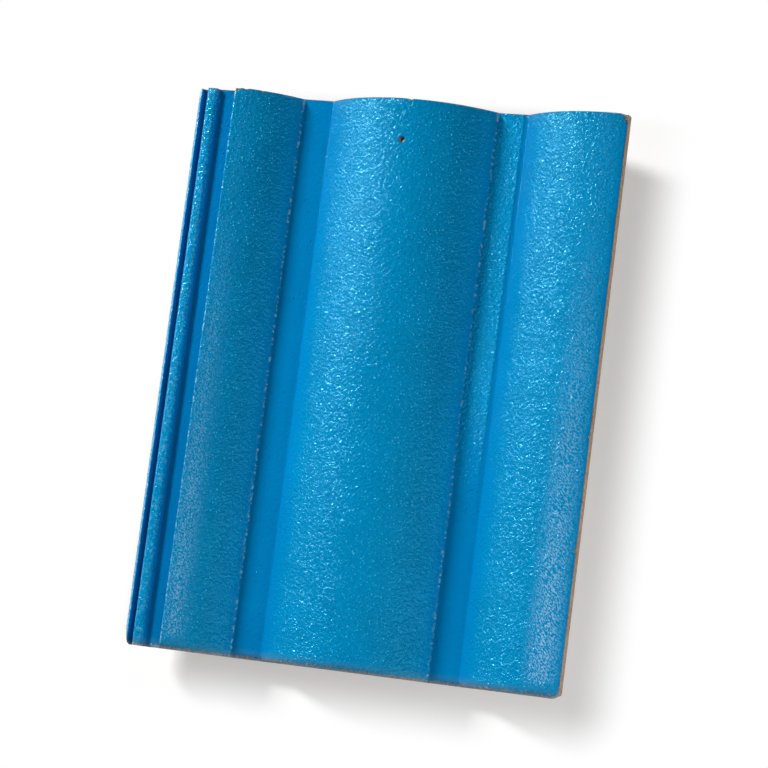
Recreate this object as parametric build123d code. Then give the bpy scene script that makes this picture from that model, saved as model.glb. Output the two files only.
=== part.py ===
from build123d import *
from math import atan2, degrees, sqrt
import os

# Interlocking double-roll roof tile, extruded as one section and cut to length.
# X runs across the slope, Y up the slope to the head, Z up, all in millimetres.
# While it is drawn, X = 0 is the middle roll's crest and Z = 0 the pans' top face.

# Length and rolls
tile_length = 424.0
roll_pitch = 151.5
roll_rise = 28.0
pan_width = 23.5
wall = 12.0
crease_radius = 2.5
foot_radius = 4.0

# Overlock: the right edge, which lies on the neighbour's underlock
edge_past_crest = 15.5
overlock_thickness = 8.0
edge_rib_width = 9.0
edge_radius = 0.8
drip_radius = 0.5

# Clearances where one tile lies in the next
side_gap = 1.0
lap_gap = 1.0

# Underlock: the left edge, with a lip, a drain groove, a rib and a lap groove
underlock_width = 34.0
lip_bevel_width = 3.0
lip_bevel_height = 4.6
lip_land = 0.8
lip_height = 3.0
drain_width = 3.5
drain_depth = 8.0
shelf_thickness = 5.0
rib_land = 7.7
rib_height = 4.5
rib_radius = 2.4
groove_draft = 0.2
groove_radius = 0.9
haunch_run = 13.0

# Tail: the rounded nose, and the weather bars under it
nose_radius = 5.0
bar_count = 3
bar_pitch = 17.0
bar_set_back = 14.0
bar_depth = 6.0
bar_width = 7.0
bar_tip_width = 4.0
bar_root = 1.5

# Head: the nibs that hook over the batten, and the nail hole
nib_set_back = 4.0
nib_length = 15.0
nib_tip_length = 9.0
nib_width = 26.0
nib_tip_width = 21.0
nib_depth = 14.0
nail_hole_diameter = 5.0
nail_hole_from_head = 31.0

# Rounding of the bars' and nibs' tips, on which the tile lies
tip_radius = 1.2

# Corners of the plan
tail_chamfer_x = 4.5
tail_chamfer_y = 12.0
head_chamfer = 3.0
tail_corner_radius = 5.5

# Rolls: each is an arc that stands on the pans
roll_half_chord = (roll_pitch - pan_width) / 2
roll_radius = (roll_half_chord**2 + roll_rise**2) / (2 * roll_rise)
roll_centre_z = roll_rise - roll_radius
crests = [-roll_pitch, 0, roll_pitch]
pan_centres = [-roll_pitch / 2, roll_pitch / 2]
head_y = tile_length / 2
tail_y = -tile_length / 2


def arc_z(offset, depth=0.0):
    """Height of a roll's face at a distance from its crest, at a depth in the wall."""
    return roll_centre_z + sqrt((roll_radius - depth) ** 2 - offset**2)


def foot_offset(depth):
    """Distance from the crest at which the arc at a depth meets the level at that depth."""
    return sqrt((roll_radius - depth) ** 2 - (roll_centre_z + depth) ** 2)


# Edges, and the neighbour's place
cover_width = 2 * roll_pitch
right_x = roll_pitch + edge_past_crest
step_x = right_x - cover_width + side_gap
left_x = step_x - underlock_width
neighbour_left_x = left_x + cover_width
haunch_x = step_x + haunch_run

# Levels in the lap, from the roll's face down
edge_top_z = arc_z(edge_past_crest)
recess_z = edge_top_z - overlock_thickness
rib_top_z = recess_z - lap_gap
lap_floor_z = rib_top_z - rib_height
drain_floor_z = rib_top_z - drain_depth
lip_top_z = drain_floor_z + lip_height
lip_shoulder_z = lip_top_z - lip_bevel_height
shelf_z = drain_floor_z - shelf_thickness
pan_bottom_z = -wall
edge_rib_z = lap_floor_z + lap_gap
drip_rib_z = drain_floor_z + lap_gap

# Stations across the underlock
lip_x = left_x + lip_bevel_width
drain_left_x = lip_x + lip_land + lip_height * groove_draft
drain_right_x = drain_left_x + drain_width
rib_left_x = drain_right_x + drain_depth * groove_draft
rib_right_x = rib_left_x + rib_land
lap_left_x = rib_right_x + rib_height * groove_draft

# Stations across the overlock
drip_left_x = drain_left_x + cover_width + lap_gap
drip_right_x = drain_right_x + cover_width - lap_gap
drip_lean = (recess_z - drip_rib_z) * groove_draft
recess_left_x = drip_right_x + drip_lean
edge_rib_x = right_x - edge_rib_width
recess_right_x = edge_rib_x - rib_height * groove_draft

# Stations along the tile
first_bar_y = tail_y + bar_set_back
bar_stations = [first_bar_y + bar_width / 2 + number * bar_pitch for number in range(bar_count)]
hook_y = head_y - nib_set_back - nib_length
nail_hole_y = head_y - nail_hole_from_head


def band(low_x, high_x, low_z, high_z):
    """A rectangle of the section between two stations and two levels."""
    middle = Pos((low_x + high_x) / 2, (low_z + high_z) / 2)
    return middle * Rectangle(high_x - low_x, high_z - low_z)


def shell_section():
    """Rolls and pans as one sheet of even thickness, from the step to the right edge."""
    face = band(step_x, right_x, pan_bottom_z, 0)
    for crest in crests:
        face += Pos(crest, roll_centre_z) * Circle(roll_radius)
    for crest in crests:
        face -= Pos(crest, roll_centre_z) * Circle(roll_radius - wall)
    return face & band(step_x, right_x, pan_bottom_z, roll_rise + wall)


def underlock_section():
    """Left edge: the shelf with its lip, drain groove, rib and lap groove."""
    outline = [
        (left_x, shelf_z),
        (left_x, lip_shoulder_z),
        (lip_x, lip_top_z),
        (lip_x + lip_land, lip_top_z),
        (drain_left_x, drain_floor_z),
        (drain_right_x, drain_floor_z),
        (rib_left_x, rib_top_z),
        (rib_right_x, rib_top_z),
        (lap_left_x, lap_floor_z),
        (step_x, lap_floor_z),
        (step_x, arc_z(step_x - crests[0], wall / 2)),
        (haunch_x, arc_z(haunch_x - crests[0], wall / 2)),
        (haunch_x, arc_z(haunch_x - crests[0], wall)),
        (step_x, shelf_z),
    ]
    return make_face(Polyline(*outline, close=True))


def drip_rib_section():
    """Narrow rib of the overlock, which hangs in the neighbour's drain groove."""
    root_z = arc_z(drip_left_x - drip_lean - crests[-1], wall / 2)
    outline = [
        (drip_left_x, drip_rib_z),
        (drip_right_x, drip_rib_z),
        (recess_left_x, recess_z),
        (recess_left_x, root_z),
        (drip_left_x - drip_lean, root_z),
        (drip_left_x - drip_lean, recess_z),
    ]
    return make_face(Polyline(*outline, close=True))


def edge_rib_section():
    """Rib along the right edge, which hangs in the neighbour's lap groove."""
    return band(edge_rib_x, right_x, edge_rib_z, recess_z)


def recess_section():
    """Hollow under the overlock that clears the neighbour's rib."""
    outline = [
        (recess_left_x, recess_z),
        (drip_right_x, drip_rib_z),
        (drip_right_x, pan_bottom_z),
        (edge_rib_x, pan_bottom_z),
        (edge_rib_x, edge_rib_z),
        (recess_right_x, recess_z),
    ]
    return make_face(Polyline(*outline, close=True))


def round_corners(face, places, radius):
    """Round the corners of a face nearest to the places given."""
    corners = [face.vertices().sort_by_distance((x, y, 0))[0] for x, y in places]
    return fillet(corners, radius)


def tile_section():
    """The whole section, as it leaves the die."""
    face = shell_section() + underlock_section()
    face = face + drip_rib_section() + edge_rib_section() - recess_section()
    foot_x = roll_pitch / 2 - foot_offset(wall)
    creases = [(pan_x + side * pan_width / 2, 0) for pan_x in pan_centres for side in (-1, 1)]
    feet = [(pan_x + side * foot_x, pan_bottom_z) for pan_x in pan_centres for side in (-1, 1)]
    grooves = [
        (drain_left_x, drain_floor_z),
        (drain_right_x, drain_floor_z),
        (lap_left_x, lap_floor_z),
        (step_x, lap_floor_z),
        (recess_left_x, recess_z),
        (recess_right_x, recess_z),
    ]
    edges = [
        (left_x, shelf_z),
        (left_x, lip_shoulder_z),
        (edge_rib_x, edge_rib_z),
        (right_x, edge_rib_z),
    ]
    face = round_corners(face, creases, crease_radius)
    face = round_corners(face, feet, foot_radius)
    face = round_corners(face, [(rib_left_x, rib_top_z), (rib_right_x, rib_top_z)], rib_radius)
    face = round_corners(face, grooves, groove_radius)
    face = round_corners(face, edges, edge_radius)
    return round_corners(face, [(drip_left_x, drip_rib_z), (drip_right_x, drip_rib_z)], drip_radius)


def is_nose_edge(edge):
    """True for an edge of the tail's end that lies along the top of a roll or a pan."""
    middle = edge @ 0.5
    heights = [arc_z(middle.X - crest) for crest in crests if abs(middle.X - crest) < roll_half_chord]
    surface_z = max([0.0] + heights)
    return middle.X > step_x + edge_radius and abs(middle.Z - surface_z) < crease_radius / 2


def round_nose(body):
    """Round the tail's top edge, from the step to the right edge."""
    tail_face = body.faces().sort_by(Axis.Y)[0]
    return fillet(tail_face.edges().filter_by(is_nose_edge), nose_radius)


def round_long_edges(body):
    """Ease the top edges that run along the step and the right side."""
    upper = body.edges().filter_by(Axis.Y).filter_by_position(Axis.Z, recess_z, roll_rise)
    step_edge = upper.sort_by_distance((step_x, 0, edge_top_z))[0]
    right_edge = upper.sort_by_distance((right_x, 0, edge_top_z))[0]
    return fillet([step_edge, right_edge], edge_radius)


def plan_block():
    """Upright block with the plan's outline: two cut corners and a rounded one."""
    outline = [
        (left_x + tail_chamfer_x, tail_y),
        (right_x, tail_y),
        (right_x, head_y),
        (left_x + head_chamfer, head_y),
        (left_x, head_y - head_chamfer),
        (left_x, tail_y + tail_chamfer_y),
    ]
    plan = make_face(Polyline(*outline, close=True))
    plan = round_corners(plan, [(right_x, tail_y)], tail_corner_radius)
    return extrude(plan, amount=roll_rise + wall, both=True)


def roll_arc(crest, low_x, high_x, depth):
    """Stretch of one roll's arc between two stations, at a depth in the wall."""
    stations = [low_x, (low_x + high_x) / 2, high_x]
    return ThreePointArc(*[(x, arc_z(x - crest, depth)) for x in stations])


def bar_line():
    """Line that a weather bar follows: just inside the underside, from haunch to drip rib."""
    depth = wall - bar_root
    half = foot_offset(depth)
    arcs = [
        roll_arc(crests[0], haunch_x, crests[0] + half, depth),
        roll_arc(crests[1], crests[1] - half, crests[1] + half, depth),
        roll_arc(crests[2], crests[2] - half, drip_left_x, depth),
    ]
    pans = [Line(before @ 1, after @ 0) for before, after in zip(arcs, arcs[1:])]
    line = Wire([arcs[0], pans[0], arcs[1], pans[1], arcs[2]])
    ends = [end for pan in pans for end in (pan @ 0, pan @ 1)]
    corners = [line.vertices().sort_by_distance(end)[0] for end in ends]
    return line.fillet_2d(foot_radius - bar_root, corners)


def weather_bar():
    """One bar across the underside near the tail: a tapered rib swept along the rolls and pans."""
    line = Plane.XZ * bar_line()
    start = Plane(origin=line @ 0, x_dir=(0, 1, 0), z_dir=line % 0)
    reach = bar_root + bar_depth
    outline = [
        (-bar_width / 2, 0),
        (-bar_tip_width / 2, -reach),
        (bar_tip_width / 2, -reach),
        (bar_width / 2, 0),
    ]
    rib = make_face(Polyline(*outline, close=True))
    rib = round_corners(rib, outline[1:3], tip_radius)
    return sweep(start * rib, path=line)


def nib():
    """One nib under a pan: its hook face is upright, and its other sides slope."""
    root = Pos(0, nib_length / 2) * Rectangle(nib_width, nib_length)
    tip = Pos(0, nib_tip_length / 2) * Rectangle(nib_tip_width, nib_tip_length)
    body = loft([root, Pos(0, 0, -nib_depth) * tip])
    body = fillet(body.faces().sort_by(Axis.Z)[0].edges(), tip_radius)
    return body + Pos(0, nib_length / 2, wall / 4) * Box(nib_width, nib_length, wall / 2)


def nail_hole():
    """Drill for the nail, down through the middle roll's crest."""
    drill = Cylinder(nail_hole_diameter / 2, 2 * (roll_rise + wall))
    return Pos(0, nail_hole_y) * drill


# The run of the section, with its nose and its plan
tile = extrude(Plane.XZ * tile_section(), amount=tile_length / 2, both=True)
tile = round_nose(tile)
tile = round_long_edges(tile)
tile = tile & plan_block()

# What hangs under it, and the hole
for bar_y in bar_stations:
    tile += Pos(0, bar_y) * weather_bar()
for pan_x in pan_centres:
    tile += Pos(pan_x, hook_y, pan_bottom_z) * nib()
tile -= nail_hole()

# It lies on the nibs and the first bar, so the head is a little higher than the tail.
first_tip_y = first_bar_y + (bar_width - bar_tip_width) / 2
tilt = degrees(atan2(nib_depth - bar_depth, hook_y - first_tip_y))
tile = Rot(tilt, 0, 0) * tile
box = tile.bounding_box()
tile = Pos(-box.center().X, -box.center().Y, -box.min.Z) * tile

os.makedirs("parts", exist_ok=True)
export_step(tile, "parts/roof_tile.step")
print("volume", round(tile.volume), "tilt", round(tilt, 3), "size", box.size)
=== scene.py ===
"""A double-roll roof tile of pressed concrete under a glossy blue coat over sand, as it lies on the floor."""

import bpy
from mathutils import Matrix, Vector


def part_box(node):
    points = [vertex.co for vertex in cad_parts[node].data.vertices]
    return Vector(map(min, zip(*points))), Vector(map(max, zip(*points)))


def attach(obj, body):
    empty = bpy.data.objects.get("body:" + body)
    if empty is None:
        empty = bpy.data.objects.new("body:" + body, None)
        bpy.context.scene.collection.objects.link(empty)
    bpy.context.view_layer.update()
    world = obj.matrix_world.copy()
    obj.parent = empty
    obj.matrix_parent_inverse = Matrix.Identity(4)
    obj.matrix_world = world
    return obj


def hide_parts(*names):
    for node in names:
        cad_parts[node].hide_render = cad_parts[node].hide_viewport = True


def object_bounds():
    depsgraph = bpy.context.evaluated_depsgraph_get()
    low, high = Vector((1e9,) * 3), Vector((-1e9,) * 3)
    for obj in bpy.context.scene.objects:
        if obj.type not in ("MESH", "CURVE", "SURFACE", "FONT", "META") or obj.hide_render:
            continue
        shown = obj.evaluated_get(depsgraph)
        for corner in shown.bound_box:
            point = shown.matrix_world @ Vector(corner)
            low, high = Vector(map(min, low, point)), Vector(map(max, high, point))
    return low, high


bl_info = {
    "name": "Sanded Roof Tile",
    "version": (1, 0, 0),
    "blender": (4, 5, 0),
    "location": "View3D > Sidebar > Roof Tile",
    "description": "Builds an interlocking double-roll roof tile with a sanded blue coat",
    "category": "Add Mesh",
}

from math import atan2, ceil, cos, pi, radians, sin, sqrt, tan

import bmesh
import bpy
from mathutils import Euler, Vector

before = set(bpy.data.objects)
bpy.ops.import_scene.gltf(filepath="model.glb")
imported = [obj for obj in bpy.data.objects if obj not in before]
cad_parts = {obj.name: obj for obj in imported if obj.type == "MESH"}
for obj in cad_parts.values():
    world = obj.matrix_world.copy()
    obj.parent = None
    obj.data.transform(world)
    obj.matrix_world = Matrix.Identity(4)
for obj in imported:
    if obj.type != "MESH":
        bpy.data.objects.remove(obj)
CAD_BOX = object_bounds()

MM = 0.001
NODE = "roof_tile"
BODY = "root"


def size(name, description, mm):
    """A length that a user may change, shown in the scene's unit."""
    return bpy.props.FloatProperty(
        name=name, description=description, default=mm * MM, min=0.0, subtype="DISTANCE", unit="LENGTH"
    )


def colour(name, description, code):
    """A colour that a user may change, from its sRGB hex code."""
    return bpy.props.FloatVectorProperty(
        name=name, description=description, default=linear(code), size=4, min=0.0, max=1.0, subtype="COLOR"
    )


def linear(code):
    """Linear RGBA of an sRGB hex code."""
    parts = [int(code[place:place + 2], 16) / 255 for place in (1, 3, 5)]
    return tuple(v / 12.92 if v <= 0.04045 else ((v + 0.055) / 1.055) ** 2.4 for v in parts) + (1.0,)


class TileSizes(bpy.types.PropertyGroup):
    """Sizes of the tile's section and run."""

    length: size("Length", "Tail to head, up the slope", 424.0)
    roll_pitch: size("Roll pitch", "Crest to crest of the rolls", 151.5)
    roll_rise: size("Roll rise", "Height of a crest over the pans", 28.0)
    pan_width: size("Pan width", "Flat between two rolls", 23.5)
    wall: size("Wall", "Thickness of the pressed concrete", 12.0)
    crease_radius: size("Crease radius", "Rounding where a roll meets a pan", 2.5)
    foot_radius: size("Foot radius", "Rounding of the underside where a roll meets a pan", 4.0)
    edge_past_crest: size("Edge past crest", "From the right crest to the right edge", 15.5)
    underlock_width: size("Underlock width", "Grooved strip along the left edge", 34.0)
    nose_radius: size("Nose radius", "Rounding of the tail's top edge", 5.0)
    bar_pitch: size("Weather bar pitch", "Spacing of the bars under the tail", 17.0)
    bar_depth: size("Weather bar depth", "How far the bars hang down", 6.0)
    nib_depth: size("Nib depth", "How far the nibs hang down", 14.0)
    hole_diameter: size("Nail hole", "Diameter of the nail hole", 5.0)
    hole_from_head: size("Hole from head", "From the head's end to the nail hole", 31.0)
    top_step: size("Top step", "Spacing of the points across the top", 1.6)
    under_step: size("Underside step", "Spacing of the points across the underside", 6.0)
    stations: bpy.props.IntProperty(
        name="Stations", description="Number of sections along the tile", default=252, min=20, max=600
    )
    bar_count: bpy.props.IntProperty(
        name="Weather bars", description="Number of bars under the tail", default=3, min=1, max=5
    )


class CoatFinish(bpy.types.PropertyGroup):
    """Colours, relief and sand of the coat."""

    coat: colour("Coat", "Blue of the coat on the rolls", "#008BC2")
    # Pooled coat: smooth coat in the pans and grooves, made darker as painted shade there and along the right
    # edge
    pooled_and_shaded: colour("Pooled coat", "Blue where the coat has pooled in the pans", "#0080BE")
    grain: colour("Grain", "Blue of a grain's tip, where the coat is thin", "#2AAEDC")
    glint: colour("Glint", "Tint of the light that the coat mirrors", "#5CE2FF")
    # Film: pale bloom on the coat and a painted sheen on the rolls' flanks, fading towards the head
    film: colour("Film", "Pale film on the coat where the tile has been handled", "#9ACEF4")
    # Rubbed coat: pale spots, partly wear and partly painted highlights on the step's edge, the lip, the creases
    # and the head
    rubbed_and_highlit: colour("Rubbed coat", "Coat rubbed thin on an edge", "#93CFE6")
    slid: colour("Slid coat", "Coat on the nose, where other tiles slid", "#4E7488")
    concrete: colour("Concrete", "Bare pressed concrete", "#AE957A")
    relief_depth: size("Relief depth", "Depth of the slow waves in the coat", 0.25)
    relief_width: size("Relief width", "Length of those waves", 5.2)
    grain_width: size("Grain width", "Mean width of a sand grain that shows through", 1.05)
    grain_gap: size("Grain gap", "Least distance between two grains", 1.68)


class StudioSet(bpy.types.PropertyGroup):
    """Light and floor."""

    key_power: bpy.props.FloatProperty(
        name="Key", description="Light from the upper left", default=14.9, min=0.0, unit="POWER"
    )
    fill_power: bpy.props.FloatProperty(
        name="Fill", description="Broad soft light from the tail's side", default=17.0, min=0.0, unit="POWER"
    )
    sky: bpy.props.FloatProperty(name="Sky", description="Light from all round", default=0.07, min=0.0, max=1.0)
    floor: colour("Floor", "Plain pale floor", "#F4F4F4")


# Sizes of the laps, in metres, the same for every tile that lies in this one's course
SIDE_GAP = LAP_GAP = 1.0 * MM
OVERLOCK_THICKNESS = 8.0 * MM
EDGE_RIB_WIDTH = 9.0 * MM
LIP_BEVEL = (3.0 * MM, 4.6 * MM)
LIP_LAND = 0.8 * MM
LIP_HEIGHT = 3.0 * MM
LIP_RADIUS = 0.3 * MM
DRAIN_WIDTH = 3.5 * MM
DRAIN_DEPTH = 8.0 * MM
SHELF_THICKNESS = 5.0 * MM
RIB_LAND = 7.7 * MM
RIB_HEIGHT = 4.5 * MM
RIB_RADIUS = 2.4 * MM
GROOVE_DRAFT = 0.2
GROOVE_RADIUS = 0.9 * MM
EDGE_RADIUS = 0.8 * MM
DRIP_RADIUS = 0.5 * MM
HAUNCH_RUN = 13.0 * MM

# Sizes of what hangs under the tile, and of the plan's corners, in metres
BAR_SET_BACK = 14.0 * MM
BAR_WIDTH = 7.0 * MM
BAR_TIP_WIDTH = 4.0 * MM
BAR_ROOT = 1.5 * MM
BAR_END_BACK = 12.1 * MM
NIB_SET_BACK = 4.0 * MM
NIB_LENGTH = 15.0 * MM
NIB_TIP_LENGTH = 9.0 * MM
NIB_WIDTH = 26.0 * MM
NIB_TIP_WIDTH = 21.0 * MM
TIP_RADIUS = 1.2 * MM
TAIL_CHAMFER = (4.5 * MM, 12.0 * MM)
HEAD_CHAMFER = 3.0 * MM
TAIL_CORNER_RADIUS = 5.5 * MM

# How far the pooled coat, which also paints shade, fades out past a pan: up the roll on its left, and up the one
# on its right
POOL_AND_SHADE_FADE = (5.0 * MM, 15.0 * MM)
# Bands along the left and right rolls with pale bloom on the coat and a painted sheen: middle, half width and
# strength
FILM_AND_SHEEN_BANDS = ((-127.0 * MM, 15.0 * MM, 0.66), (152.0 * MM, 17.0 * MM, 1.0))
# Strips in which painted shade, as pooled coat, runs along the right edge, and painted highlight specks, as
# rubbed coat, run along a pan's left crease
EDGE_RUN = 5.0 * MM
CREASE_RUB_HIGHLIGHT = 1.0 * MM
# The strip in the right pan from which the coat has run off, grittier and lightened by a painted sheen: its half
# width, how far left of the middle it lies, and the distances from the tail at which it begins and is fully dry
DRY_SHEEN_HALF = 10.5 * MM
DRY_SHEEN_SHIFT = 1.5 * MM
DRY_SHEEN_RUN = (120.0 * MM, 210.0 * MM)
# What the section tells the coat: whether a point is coated, how pooled it is, which also paints shade, how
# rubbed, which also paints highlights, how dry, which also paints a sheen, and how much pale bloom with a
# painted sheen it has
READ_BY_COAT = ("coat", "pool", "rub", "dry", "film")
# How much calmer the slow waves are where the coat has pooled
POOL_CALM = 0.65
# How far from each end the sand begins, the most grains tried on a square metre, and the seed of their places
SAND_CLEAR = 5.0 * MM
SAND_DENSITY = 220000.0
SAND_SEED = 7

# A small distance, and a height that no nose reaches
NEAR = 0.1 * MM
FAR = 1.0
# Steps round a corner, round a pan's join, to the drip rib's foot, and along a weather bar
ROUND_STEP = 1.0 * MM
JOIN_STEP = 0.9 * MM
MEET_STEP = 0.01 * MM
BAR_STEP = 3.0 * MM
# How much longer a roll's arc is than its chord, and how many stations go round the nose
ARC_OVER_CHORD = 1.12
NOSE_STEPS = 7
# Points this close become one, and a face this close to the run's own keeps its coat
MERGE_GAP = 0.004 * MM
KEPT_FACE_GAP = 0.15 * MM
# Edges that bend less than this look smooth
SOFT_ANGLE = radians(48)
# The bar that drills the nail hole
HOLE_SIDES = 40
DRILL_LENGTH = 80.0 * MM


class Rule:
    """The places that follow from the tile's sizes: X across, Z up, from the middle crest and the pans' top."""

    def __init__(self, sizes):
        self.sizes = sizes
        pitch = sizes.roll_pitch
        self.half_chord = half_chord = (pitch - sizes.pan_width) / 2
        self.radius = (half_chord**2 + sizes.roll_rise**2) / (2 * sizes.roll_rise)
        self.centre_z = sizes.roll_rise - self.radius
        self.crests = (-pitch, 0.0, pitch)
        self.cover = 2 * pitch
        self.right_x = pitch + sizes.edge_past_crest
        self.step_x = self.right_x - self.cover + SIDE_GAP
        self.left_x = self.step_x - sizes.underlock_width
        self.edge_top_z = self.arc_z(sizes.edge_past_crest)
        self.step_top_z = self.arc_z(self.step_x + pitch)
        self.head_y = sizes.length / 2
        self.tail_y = -sizes.length / 2
        self.hook_y = self.head_y - NIB_SET_BACK - NIB_LENGTH
        self.first_bar_y = self.tail_y + BAR_SET_BACK
        self.hole_y = self.head_y - sizes.hole_from_head
        first_tip_y = self.first_bar_y + (BAR_WIDTH - BAR_TIP_WIDTH) / 2
        self.tilt = atan2(sizes.nib_depth - sizes.bar_depth, self.hook_y - first_tip_y)

    def arc_z(self, offset, depth=0.0):
        """Height of a roll's face at a distance from its crest, at a depth in the wall."""
        return self.centre_z + sqrt((self.radius - depth) ** 2 - offset**2)

    def place(self):
        """Move that brings the turned tile to the place of the CAD node, from that node's box."""
        low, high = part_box(NODE)
        nose_z = self.sizes.roll_rise - self.sizes.nose_radius
        tail = self.tail_y * cos(self.tilt) - nose_z * sin(self.tilt)
        top = self.head_y * sin(self.tilt) + self.sizes.roll_rise * cos(self.tilt)
        return Vector((low[0] - self.left_x, low[1] - tail, high[2] - top))


def rounded(corners):
    """The closed line through corners of (x, z, radius, marks), each one rounded by its radius."""
    line = []
    for number, (x, z, radius, *marks) in enumerate(corners):
        here = Vector((x, z))
        if not radius:
            line.append((x, z, *marks))
            continue
        before = (Vector(corners[number - 1][:2]) - here).normalized()
        after = (Vector(corners[(number + 1) % len(corners)][:2]) - here).normalized()
        half = before.angle(after) / 2
        centre = here + (before + after).normalized() * radius / sin(half)
        first = here + before * radius / tan(half) - centre
        last = here + after * radius / tan(half) - centre
        turn = first.angle(last)
        parts = max(3, ceil(turn * radius / ROUND_STEP))
        for part in range(parts + 1):
            share = part / parts
            spoke = (first * sin((1 - share) * turn) + last * sin(share * turn)) / sin(turn)
            point = centre + spoke
            line.append((point.x, point.y, *marks))
    return line


def divided(line, fine, coarse):
    """The closed line with points added so that its steps are short: fine where coated, coarse elsewhere."""
    dense = []
    for start, end in zip(line, line[1:] + line[:1]):
        run = Vector(end[:2]) - Vector(start[:2])
        step = fine if start[2] > 0.5 and end[2] > 0.5 else coarse
        parts = max(1, round(run.length / step))
        for part in range(parts):
            share = part / parts
            dense.append(tuple(a + (b - a) * share for a, b in zip(start, end)))
    return dense


def roll_line(rule, low_x, high_x, depth, join_radius, step):
    """Points of a face from one station to another: arcs, and pans with rounded joins."""
    radius = rule.radius - depth
    reach = sqrt((radius + join_radius) ** 2 - (join_radius - depth - rule.centre_z) ** 2)
    points = []
    for crest in rule.crests:
        start = max(low_x, crest - reach * radius / (radius + join_radius))
        end = min(high_x, crest + reach * radius / (radius + join_radius))
        count = max(2, round((end - start) * ARC_OVER_CHORD / step))
        low_turn = atan2(start - crest, rule.arc_z(start - crest, depth) - rule.centre_z)
        high_turn = atan2(end - crest, rule.arc_z(end - crest, depth) - rule.centre_z)
        for side in (-1, 1):
            if side == 1:
                for number in range(count + 1):
                    turn = low_turn + (high_turn - low_turn) * number / count
                    points.append((crest + radius * sin(turn), rule.centre_z + radius * cos(turn)))
            foot = crest + side * reach
            if not low_x < foot < high_x:
                continue
            lean = atan2(reach, join_radius - depth - rule.centre_z)
            parts = max(3, round(join_radius * lean / min(step, JOIN_STEP)))
            join = []
            for part in range(1, parts + 1):
                turn = lean * (1 - part / parts)
                join.append((foot - side * join_radius * sin(turn), join_radius * (1 - cos(turn)) - depth))
            points.extend(join if side == 1 else join[::-1])
    return points


def top_marks(rule, x):
    """How pooled the coat is at a station of the top, which also paints shade, how rubbed along a pan's left
    crease, which paints highlight specks, and how dry, which paints a sheen.
    """
    past = min((x - side * rule.sizes.roll_pitch / 2 for side in (-1, 1)), key=abs)
    beyond = max(0.0, abs(past) - rule.sizes.pan_width / 2) / POOL_AND_SHADE_FADE[past > 0]
    # The pooled mark is also painted shade: in the pans, and in a strip along the right edge, which turns from
    # the light
    pooled_and_shaded = max(0.0, 1 - beyond, 1 - (rule.right_x - x) / EDGE_RUN)
    # Painted highlight specks, as rubbed coat, along a pan's left crease.
    crease = max(0.0, 1 - abs(past + rule.sizes.pan_width / 2) / CREASE_RUB_HIGHLIGHT)
    # The dry strip is grittier and also carries a painted sheen.
    dry = (DRY_SHEEN_HALF - abs(past + DRY_SHEEN_SHIFT)) / DRY_SHEEN_SHIFT if x > 0 else 0.0
    return pooled_and_shaded, crease, min(1.0, max(0.0, dry))


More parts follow.
